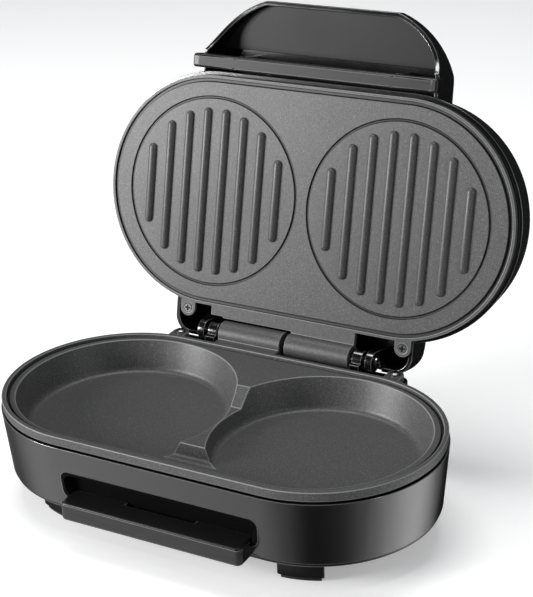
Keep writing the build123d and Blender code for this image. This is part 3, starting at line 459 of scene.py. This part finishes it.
edge_widths = {
    "base_housing": 0.35, "recess_tray": 0.3, "hinge_bridge": 0.35, "lower_cooking_plate": 0.45,
    "bottom_cover": 0.4, "foot_pads": 0.3, "lower_handle": 0.35, "lower_handle_trim": 0.2,
    "cord_gland": 0.4, "terminal_block": 0.3, "thermostat": 0.3,
    "thermal_fuse": 0.3, "fuse_strap": 0.15, "lower_element_clamps": 0.2,
    "upper_element_clamps": 0.2, "lower_heat_shield": 0.12, "upper_heat_shield": 0.12,
    "lid_shell": 0.4, "handle_panel": 0.3, "lid_handle_lip": 0.35, "lid_lip_trim": 0.15,
    "hinge_pin": 0.3, "pin_clip": 0.1,
}
finished = {node: softened(node, width * MM) for node, width in edge_widths.items()}
print("rounded pieces", len(finished))

# %% [markdown]
# ## Painted shade in the grooves
# A bead of metal runs round each plate, with a groove inside it, and one ring is engraved over
# each well. A groove catches little light, so its faces take the `edge` value of an inner corner,
# and the coating paints them with shade. They are found by their distance from the plate's centre
# line, or from a ring's centre.

# %% Mark the faces of a groove
plate_half_span = 61.7
ring_half_span = 60.0
groove_height = 1.9
deck_groove_z = 57.8


def from_centres(spot, centre_x, straight):
    """How far a spot lies from the end circles' centres, or from the line between them."""
    past_end = abs(spot.x) - centre_x
    return math.hypot(max(past_end, 0.0) if straight else past_end, spot.y)


def paint_groove_shade(piece, to_shut, centre_x, inner, outer, lowest, straight=True):
    """Mark the faces that lie wholly between two radii and within groove_height of a height, for
    painted shade.
    """
    mesh = piece.data
    inside = []
    for vertex in mesh.vertices:
        spot = (to_shut @ vertex.co) / MM
        between = inner < from_centres(spot, centre_x, straight) < outer
        inside.append(between and 0 < spot.z - lowest < groove_height)
    marks = mesh.attributes["edge"].data
    chosen = [face.index for face in mesh.polygons if all(inside[k] for k in face.vertices)]
    for index in chosen:
        marks[index].value = -1.0
    print(piece.name, "groove faces", len(chosen))


paint_groove_shade(finished["lower_cooking_plate"], Matrix(), plate_half_span, 64.1, 66.05,
               deck_groove_z)

# %% [markdown]
# ## A node tree maker
# Geometry Nodes describe how a shape is made, and the sizes stay open as named inputs. This
# helper adds a node in one call, settings first. Another makes the tree's interface, and a third
# puts a tree on an object, fills its inputs by identifier, and turns the result into a mesh.

# %% Helpers for Geometry Nodes
class Shape:
    """A geometry node tree with named inputs."""

    def __init__(self, name, sizes):
        self.tree = bpy.data.node_groups.new(name, "GeometryNodeTree")
        face = self.tree.interface
        face.new_socket("Geometry", in_out="INPUT", socket_type="NodeSocketGeometry")
        for label in sizes:
            face.new_socket(label, in_out="INPUT", socket_type="NodeSocketFloat")
        face.new_socket("Material", in_out="INPUT", socket_type="NodeSocketMaterial")
        face.new_socket("Geometry", in_out="OUTPUT", socket_type="NodeSocketGeometry")
        self.inputs = self.tree.nodes.new("NodeGroupInput").outputs
        self.end = self.tree.nodes.new("NodeGroupOutput")

    def node(self, kind, settings=None, sockets=None):
        made = self.tree.nodes.new(kind)
        for key, value in (settings or {}).items():
            setattr(made, key, value)
        for key, value in (sockets or {}).items():
            target = made.inputs[key]
            for one in value if isinstance(value, list) else [value]:
                if isinstance(one, bpy.types.NodeSocket):
                    self.tree.links.new(one, target)
                else:
                    target.default_value = one
        return made

    def maths(self, operation, *values):
        """One Math node."""
        made = self.node("ShaderNodeMath", {"operation": operation}, dict(enumerate(values)))
        return made.outputs[0]

    def close(self, geometry):
        """End in real geometry with its material."""
        real = self.node("GeometryNodeRealizeInstances", sockets={"Geometry": geometry}).outputs[0]
        dressed = self.node("GeometryNodeSetMaterial", sockets={
            "Geometry": real, "Material": self.inputs["Material"]}).outputs[0]
        self.tree.links.new(dressed, self.end.inputs[0])


def grow(shape, seeds, sizes, name, node_names, body, slot, crease=30):
    """Run a tree on seed geometry, and keep the result with edges over crease degrees sharp."""
    piece = bpy.data.objects.new(name + "_work", seeds)
    scene.collection.objects.link(piece)
    modifier = piece.modifiers.new(name, "NODES")
    modifier.node_group = shape.tree
    for item in shape.tree.interface.items_tree:
        if item.in_out == "INPUT" and item.name in sizes:
            modifier[item.identifier] = sizes[item.name]
        if item.in_out == "INPUT" and item.name == "Material":
            modifier[item.identifier] = materials[slot]
    made = settle(piece, name, node_names, body, slot)
    made.data.shade_smooth()
    made.data.set_sharp_from_angle(angle=math.radians(crease))
    print(name, len(made.data.polygons), "faces")
    return made


print("geometry node helpers ready")

# %% [markdown]
# ## Screws
# Every screw is the same idea: a shank, a head and a cross recess. A pan head is domed, and a
# countersunk head is a cone with a flat face. The tree makes one screw from primitives, cuts
# the cross with a Boolean, and puts an instance on every seed point. The cutting arms carry the
# `edge` value of an inner corner, so shade is painted into the cross. A seed point carries its
# `axis`, the way its head faces, and the instance turns to it. Each group becomes one mesh that
# rides on its body.

# %% The screw tree
def screw_shape():
    """Tree for cross-recessed screws on seed points."""
    shape = Shape("cross recessed screws", ["Head radius", "Head height", "Crown", "Foot radius",
                                            "Head base", "Shank radius", "Shank length",
                                            "Recess length", "Recess width", "Recess depth"])
    size = shape.inputs
    head = shape.node("GeometryNodeMeshCylinder", {"fill_type": "TRIANGLE_FAN"}, {
        "Vertices": 40, "Side Segments": 4, "Fill Segments": 5,
        "Radius": 1.0, "Depth": 1.0}).outputs["Mesh"]
    place = shape.node("GeometryNodeInputPosition").outputs[0]
    parts = shape.node("ShaderNodeSeparateXYZ", sockets={0: place}).outputs
    level = shape.maths("ADD", parts["Z"], 0.5)
    across = shape.node("ShaderNodeCombineXYZ", sockets={
        "X": parts["X"], "Y": parts["Y"]}).outputs[0]
    reach = shape.node("ShaderNodeVectorMath", {"operation": "LENGTH"},
                       {0: across}).outputs["Value"]
    round_off = shape.maths("POWER", reach, 2.6)
    fall = shape.maths("MULTIPLY", shape.maths("MULTIPLY", round_off, level), size["Crown"])
    widen = shape.maths("MULTIPLY_ADD", level, shape.maths("SUBTRACT", size["Head radius"],
                                                          size["Foot radius"]), size["Foot radius"])
    lift = shape.maths("MULTIPLY_ADD", level, size["Head height"], size["Head base"])
    where = shape.node("ShaderNodeCombineXYZ", sockets={
        "X": shape.maths("MULTIPLY", parts["X"], widen),
        "Y": shape.maths("MULTIPLY", parts["Y"], widen),
        "Z": shape.maths("SUBTRACT", lift, fall)}).outputs[0]
    domed = shape.node("GeometryNodeSetPosition", sockets={
        "Geometry": head, "Position": where}).outputs[0]
    top = shape.maths("ADD", size["Head base"], size["Head height"])
    tall = shape.maths("MULTIPLY", size["Recess depth"], 2.0)
    tools = []
    for first, second in (("Recess length", "Recess width"), ("Recess width", "Recess length")):
        span = shape.node("ShaderNodeCombineXYZ", sockets={
            "X": size[first], "Y": size[second], "Z": tall}).outputs[0]
        arm = shape.node("GeometryNodeMeshCube", sockets={"Size": span}).outputs["Mesh"]
        # The arms' faces store an `edge` of -1, so the cut faces of the cross take painted shade.
        stored = {"data_type": "FLOAT", "domain": "FACE"}
        arm = shape.node("GeometryNodeStoreNamedAttribute", stored, {
            "Geometry": arm, "Name": "edge", "Value": -1.0}).outputs[0]
        lifted = shape.node("ShaderNodeCombineXYZ", sockets={"Z": top}).outputs[0]
        tools.append(shape.node("GeometryNodeTransform", sockets={
            "Geometry": arm, "Translation": lifted}).outputs[0])
    difference = {"operation": "DIFFERENCE", "solver": "EXACT"}
    cut = shape.node("GeometryNodeMeshBoolean", difference, {
        "Mesh 1": domed, "Mesh 2": tools}).outputs["Mesh"]
    shank = shape.node("GeometryNodeMeshCylinder", sockets={
        "Vertices": 20, "Radius": size["Shank radius"],
        "Depth": size["Shank length"]}).outputs["Mesh"]
    half = shape.maths("MULTIPLY_ADD", size["Shank length"], -0.5, size["Head base"])
    sunk = shape.node("ShaderNodeCombineXYZ", sockets={"Z": half}).outputs[0]
    shank = shape.node("GeometryNodeTransform", sockets={
        "Geometry": shank, "Translation": sunk}).outputs[0]
    screw = shape.node("GeometryNodeJoinGeometry", sockets={"Geometry": [cut, shank]}).outputs[0]
    way = shape.node("GeometryNodeInputNamedAttribute", {"data_type": "FLOAT_VECTOR"},
                     {"Name": "axis"}).outputs[0]
    facing = shape.node("FunctionNodeAlignRotationToVector", {"axis": "Z"},
                        {"Vector": way}).outputs[0]
    placed = shape.node("GeometryNodeInstanceOnPoints", sockets={
        "Points": size["Geometry"], "Instance": screw, "Rotation": facing}).outputs[0]
    shape.close(placed)
    return shape


screw_tree = screw_shape()
print("screw tree nodes", len(screw_tree.tree.nodes))

# %% Place all screws
def seed_points(spots, axis, opened):
    """A mesh of bare points, each with the way its screw faces."""
    direction = Vector(axis)
    points = [Vector(spot) * MM for spot in spots]
    if opened:
        points = [stand_open @ point for point in points]
        direction = stand_open.to_3x3() @ direction
    mesh = bpy.data.meshes.new("seeds")
    mesh.from_pydata(points, [], [])
    facing = mesh.attributes.new("axis", "FLOAT_VECTOR", "POINT")
    facing.data.foreach_set("vector", [value for _ in points for value in direction])
    return mesh


def mirrored_spots(x, y, z, both_y=False):
    """A spot and its mirror images."""
    rows = (y, -y) if both_y else (y,)
    return [(side * x, row, z) for side in (1, -1) for row in rows]


UP = (0, 0, 1)
DOWN = (0, 0, -1)
screw_groups = {
    "plate_screws": (mirrored_spots(22, 59.5, 48.9) + mirrored_spots(45, -47, 30.0), DOWN, 8),
    "lower_ear_screws": (mirrored_spots(71.1, 77, 59.2), UP, 12),
    "upper_ear_screws": (mirrored_spots(71.1, 72.6, 61.4), DOWN, 10.4),
    "lower_clamp_screws": (mirrored_spots(60, 0, 30.55), DOWN, 8),
    "upper_clamp_screws": (mirrored_spots(60, 0, 71.45), UP, 8),
    "lower_shield_screws": (mirrored_spots(60, 30, 25.6, True), UP, 5.5),
    "upper_shield_screws": (mirrored_spots(60, 30, 76.4, True), DOWN, 5.5),
    "cover_screws": (mirrored_spots(115.3, 24.994, 16.0, True), DOWN, 12),
    "thermostat_screws": ([(30, 13, 32.8), (30, -13, 32.8)], DOWN, 5),
    "fuse_strap_screws": ([(-30, 9, 33.4), (-30, -9, 33.4)], DOWN, 4.5),
    "terminal_screws": ([(31.5, 52, 24.0), (58.5, 52, 24.0)], UP, 7.5),
    "lid_lip_screws": (mirrored_spots(50, -76.65, 62.7), DOWN, 12),
    "handle_screws": ([(x, -59.9, 21.3) for x in (-36, 0, 36)], (0, 1, 0), 12),
}
pan_head = {"Head radius": 3.0, "Head height": 1.7, "Crown": 0.85, "Foot radius": 3.0,
            "Head base": 0.0}
sunk_head = {"Head radius": 2.45, "Head height": 1.7, "Crown": 0.0, "Foot radius": 1.5,
             "Head base": -1.6}
recess = {"Recess length": 3.7, "Recess width": 1.0, "Recess depth": 1.0, "Shank radius": 1.5}
for group, (spots, axis, length) in screw_groups.items():
    head = sunk_head if group == "upper_ear_screws" else pan_head
    sizes = {key: value * MM for key, value in {**head, **recess, "Shank length": length}.items()}
    seeds = seed_points(spots, axis, bodies[group] == "lid")
    grow(screw_tree, seeds, sizes, "crossed_" + group, [group], bodies[group], slots[group])
print("screw groups", len(screw_groups))

# %% [markdown]
# ## Press ribs
# The lid's plate has eight ribs over each well. A rib is a straight bar with a round crest and
# rounded ends, so it is a line swept by a circle that shrinks almost to nothing at both ends.
# The seeds are lines with extra points near their ends, where the circle shrinks fast. The tree
# works out its scale from the distance to the nearer end. The CAD plate has ribs of its own, and
# they are cut off its copy first, so that these take their place on a flat face.

# %% The rib tree
def rib_shape():
    """Tree that sweeps round-ended ribs along the seed lines."""
    shape = Shape("round ended ribs", ["Radius"])
    size = shape.inputs
    line = shape.node("GeometryNodeMeshToCurve", sockets={"Mesh": size["Geometry"]}).outputs[0]
    along = shape.node("GeometryNodeSplineParameter").outputs
    rest = shape.node("GeometryNodeSplineLength").outputs["Length"]
    nearer = shape.maths("MINIMUM", along["Length"], shape.maths("SUBTRACT", rest, along["Length"]))
    inward = shape.maths("MINIMUM", shape.maths("DIVIDE", nearer, size["Radius"]), 1.0)
    missing = shape.maths("SUBTRACT", 1.0, inward)
    full = shape.maths("SUBTRACT", 1.0, shape.maths("MULTIPLY", missing, missing))
    swell = shape.maths("MAXIMUM", shape.maths("SQRT", full), 0.01)
    ring = shape.node("GeometryNodeCurvePrimitiveCircle", sockets={
        "Resolution": 28, "Radius": size["Radius"]}).outputs["Curve"]
    bars = shape.node("GeometryNodeCurveToMesh", sockets={
        "Curve": line, "Profile Curve": ring, "Scale": swell, "Fill Caps": True}).outputs[0]
    shape.close(bars)
    return shape


rib_tree = rib_shape()
print("rib tree nodes", len(rib_tree.tree.nodes))

# %% Sweep the ribs and flatten the plate under them
rib_radius = 2.5
rib_pitch = 12.2
rib_half_lengths = (24.2, 39.2, 46.4, 49.6, 49.6, 46.4, 39.2, 24.2)
end_steps = (0, 12, 26, 40, 55, 70, 90)


def rib_lines():
    """Seed lines for all ribs, with points close together at their ends."""
    points = []
    edges = []
    ends = [1 - math.cos(math.radians(step)) for step in end_steps]
    for side in (-1, 1):
        for i, half in enumerate(rib_half_lengths):
            x = side * ring_half_span + (i - 3.5) * rib_pitch
            reach = [half - rib_radius * end for end in ends]
            line = [-y for y in reach] + list(reversed(reach))
            start = len(points)
            points += [stand_open @ (Vector((x, y, press_face_z)) * MM) for y in line]
            edges += [(start + k, start + k + 1) for k in range(len(line) - 1)]
    mesh = bpy.data.meshes.new("rib lines")
    mesh.from_pydata(points, edges, [])
    return mesh


def flatten_press_face(work):
    """Cut the CAD ribs off the plate's face and close the holes they leave."""
    low = press_face_z - 0.02
    gone = []
    for face in work.faces:
        spots = [(lay_shut @ vert.co) / MM for vert in face.verts]
        over_wells = all(abs(spot.y) < 52 and abs(spot.x) < 112 for spot in spots)
        if over_wells and min(spot.z for spot in spots) < low:
            gone.append(face)
    bmesh.ops.delete(work, geom=gone, context="FACES")
    loose = [edge for edge in work.edges if edge.is_boundary]
    bmesh.ops.holes_fill(work, edges=loose, sides=0)
    bmesh.ops.recalc_face_normals(work, faces=work.faces)
    print("faces cut from the press face", len(gone))


press_plate = softened("upper_cooking_plate", 0.4 * MM, prepare=flatten_press_face)
above_face = press_face_z - 0.1
paint_groove_shade(press_plate, lay_shut, plate_half_span, 64.4, 67.05, above_face)
paint_groove_shade(press_plate, lay_shut, ring_half_span, 54.9, 57.1, above_face, straight=False)
grow(rib_tree, rib_lines(), {"Radius": rib_radius * MM}, "press_ribs", [], "lid", "plate_coating",
     crease=60)

# %% [markdown]
# ## Heating tubes
# Each plate is heated by one steel tube that loops under both wells and turns out to the rear.
# Its path is a few corners, each with its own bend radius. A fillet rounds the corners and a
# circle is swept along the result. The bend radius is kept on each seed point, as `bend`.

# %% Sweep the heating tubes
def tube_shape():
    """Tree for a round tube along filleted seed lines."""
    shape = Shape("bent tube", ["Radius"])
    line = shape.node("GeometryNodeMeshToCurve", sockets={
        "Mesh": shape.inputs["Geometry"]}).outputs[0]
    bend = shape.node("GeometryNodeInputNamedAttribute", {"data_type": "FLOAT"},
                      {"Name": "bend"}).outputs[0]
    rounded = shape.node("GeometryNodeFilletCurve", {"mode": "POLY"}, {
        "Curve": line, "Count": 14, "Radius": bend, "Limit Radius": True}).outputs[0]
    ring = shape.node("GeometryNodeCurvePrimitiveCircle", sockets={
        "Resolution": 24, "Radius": shape.inputs["Radius"]}).outputs["Curve"]
    tube = shape.node("GeometryNodeCurveToMesh", sockets={
        "Curve": rounded, "Profile Curve": ring, "Fill Caps": True}).outputs[0]
    shape.close(tube)
    return shape


def tube_corners(z, opened):
    """The tube's corners at one height, each with its bend radius."""
    corners = [(-7, 52, 0), (-7, 36, 7), (-96, 36, 36), (-96, -36, 36)]
    corners += [(-x, y, bend) for x, y, bend in reversed(corners)]
    points = [Vector((x, y, z)) * MM for x, y, _ in corners]
    if opened:
        points = [stand_open @ point for point in points]
    mesh = bpy.data.meshes.new("tube corners")
    mesh.from_pydata(points, [(k, k + 1) for k in range(len(points) - 1)], [])
    bends = mesh.attributes.new("bend", "FLOAT", "POINT")
    bends.data.foreach_set("value", [bend * MM * 0.998 for _, _, bend in corners])
    return mesh


tube_radius = 3.2
tube_tree = tube_shape()
for node, z in (("lower_heating_element", 34.95), ("upper_heating_element", 67.05)):
    seeds = tube_corners(z, bodies[node] == "lid")
    grow(tube_tree, seeds, {"Radius": tube_radius * MM}, "bent_" + node, [node], bodies[node],
         slots[node], crease=50)

# %% [markdown]
# ## Floor and lights
# A pale floor and soft lights suit a glossy black object: what shows on it is mostly the
# reflection of the studio. A square bank stands to the front left and gives the satin faces their
# sheen. A wide one hangs overhead, and a narrow strip on the right draws thin bright lines.

# %% Floor and soft lights
def stage_floor():
    """A wide pale floor."""
    work = bmesh.new()
    bmesh.ops.create_grid(work, x_segments=1, y_segments=1, size=6.0)
    mesh = bpy.data.meshes.new("floor")
    work.to_mesh(mesh)
    work.free()
    made = bpy.data.objects.new("floor", mesh)
    scene.collection.objects.link(made)
    pale = Finish("pale_floor", Roughness=0.6, Emission_Color=grey(1.0), Emission_Strength=0.3)
    mottle = pale.noise(0.08, detail=2)
    pale.set(Base_Color=pale.blend(mottle, grey(0.86, 0.005), grey(0.89, 0.005)))
    made.data.materials.append(pale.material)
    made.visible_glossy = False


def soft_light(name, spot, target, width, height, power):
    """A rectangular white light that faces its target."""
    data = bpy.data.lights.new(name, "AREA")
    data.shape = "RECTANGLE"
    data.size = width
    data.size_y = height
    data.energy = power
    made = bpy.data.objects.new(name, data)
    scene.collection.objects.link(made)
    facing = (Vector(target) - Vector(spot)).to_track_quat("-Z", "Y").to_matrix().to_4x4()
    made.matrix_world = Matrix.Translation(spot) @ facing


stage_floor()
soft_light("bank_left", (-1.2, -1.1, 0.5), (0, 0, 0.12), 0.6, 0.6, 42)
soft_light("top_bank", (-0.2, 0.35, 1.6), (0, 0.0, 0.1), 1.0, 0.6, 14)
soft_light("strip_right", (1.2, -0.3, 0.5), (0, 0.05, 0.12), 0.15, 0.9, 3)

# %% [markdown]
# ## A card for the housing to mirror
# The housing's polished wall leans outwards, so it mirrors the ground in front of it. A graded
# card lies there and shows only in reflections. For every place along the wall the camera's ray
# is mirrored, and the card gets one column along the mirrored ray, so that its brightness can be
# chosen for each place: an even grey front, a dark left end, and a bright band with soft sides on
# the right end.

# %% The graded card
wall_radius = 67.7
wall_height = 36
wall_lean = math.radians(5.1)
card_height = 0.4 * MM
band_turn = 70


def smooth_step(value, low, high):
    """0 below low, 1 above high, smooth between."""
    share = min(1.0, max(0.0, (value - low) / (high - low)))
    return share * share * (3 - 2 * share)


def glow(turn):
    """Card brightness where the wall has turned by some degrees, right above 0, left below."""
    if turn <= 0:
        return 0.1 + 0.8 * smooth_step(turn, -34, -8)
    broad = 0.63 * (1 - smooth_step(turn, -4, 24))
    spread = 20 if turn < band_turn else 13
    return broad + 1.9 * math.exp(-((turn - band_turn) / spread) ** 2)


def card_column(centre, turn):
    """The card's two points for one place on the wall, and their brightness."""
    angle = math.radians(turn)
    normal = Vector((math.sin(angle), -math.cos(angle), -math.tan(wall_lean))).normalized()
    start = Vector((centre + wall_radius * math.sin(angle), -wall_radius * math.cos(angle),
                    wall_height)) * MM
    ray = (start - camera.matrix_world.translation).normalized().reflect(normal)
    step = ray * (start.z / -ray.z)
    across = (centre + plate_half_span) / (2 * plate_half_span)
    fade = 1.0 - 0.3 * across if turn == 0 else 1.0
    spots = [start + step * reach for reach in (-0.1, 3.4)]
    return [(spot.x, spot.y, card_height) for spot in spots], glow(turn) * fade


def reflected_card():
    """A card round the front of the base that shows only in reflections."""
    places = [(-plate_half_span, turn) for turn in range(-60, 0, 5)]
    places += [(x, 0) for x in range(-60, 61, 15)]
    places += [(plate_half_span, turn) for turn in range(3, 111, 3)]
    points, faces, levels = [], [], []
    for centre, turn in places:
        column, level = card_column(centre, turn)
        points += column
        levels += [level, level]
    for k in range(len(places) - 1):
        faces.append((2 * k, 2 * k + 1, 2 * k + 3, 2 * k + 2))
    mesh = bpy.data.meshes.new("reflected_card")
    mesh.from_pydata(points, [], faces)
    shade = mesh.attributes.new("glow", "FLOAT_COLOR", "POINT")
    shade.data.foreach_set("color", [part for level in levels for part in grey(level)])
    made = bpy.data.objects.new("reflected_card", mesh)
    scene.collection.objects.link(made)
    card = Finish("reflected_card", Base_Color=grey(0.0), Roughness=1.0, Emission_Strength=1.0)
    stored = card.node("ShaderNodeAttribute", {"attribute_name": "glow"})
    card.set(Emission_Color=stored.outputs["Color"])
    made.data.materials.append(card.material)
    for kind in ("camera", "diffuse", "transmission", "volume_scatter", "shadow"):
        setattr(made, "visible_" + kind, False)
    print("card columns", len(places))


reflected_card()

# %% [markdown]
# ## The world
# The world fills the shadows with an even, slightly cool light. Mirrored rays see it almost
# black, so that the glossy housing stays black wherever neither a light nor the card shows in it.

# %% World light
world = bpy.data.worlds.new("studio")
world.use_nodes = True
world_nodes = world.node_tree.nodes
world_links = world.node_tree.links
backdrop = world_nodes["Background"]
backdrop.inputs["Color"].default_value = (0.9, 0.95, 1.0, 1)
mirror_ray = world_nodes.new("ShaderNodeLightPath").outputs["Is Glossy Ray"]
dimmed = world_nodes.new("ShaderNodeMapRange")
dimmed.inputs["To Min"].default_value = 0.25
dimmed.inputs["To Max"].default_value = 0.02
world_links.new(mirror_ray, dimmed.inputs["Value"])
world_links.new(dimmed.outputs[0], backdrop.inputs["Strength"])
scene.world = world
print("world", world.name)
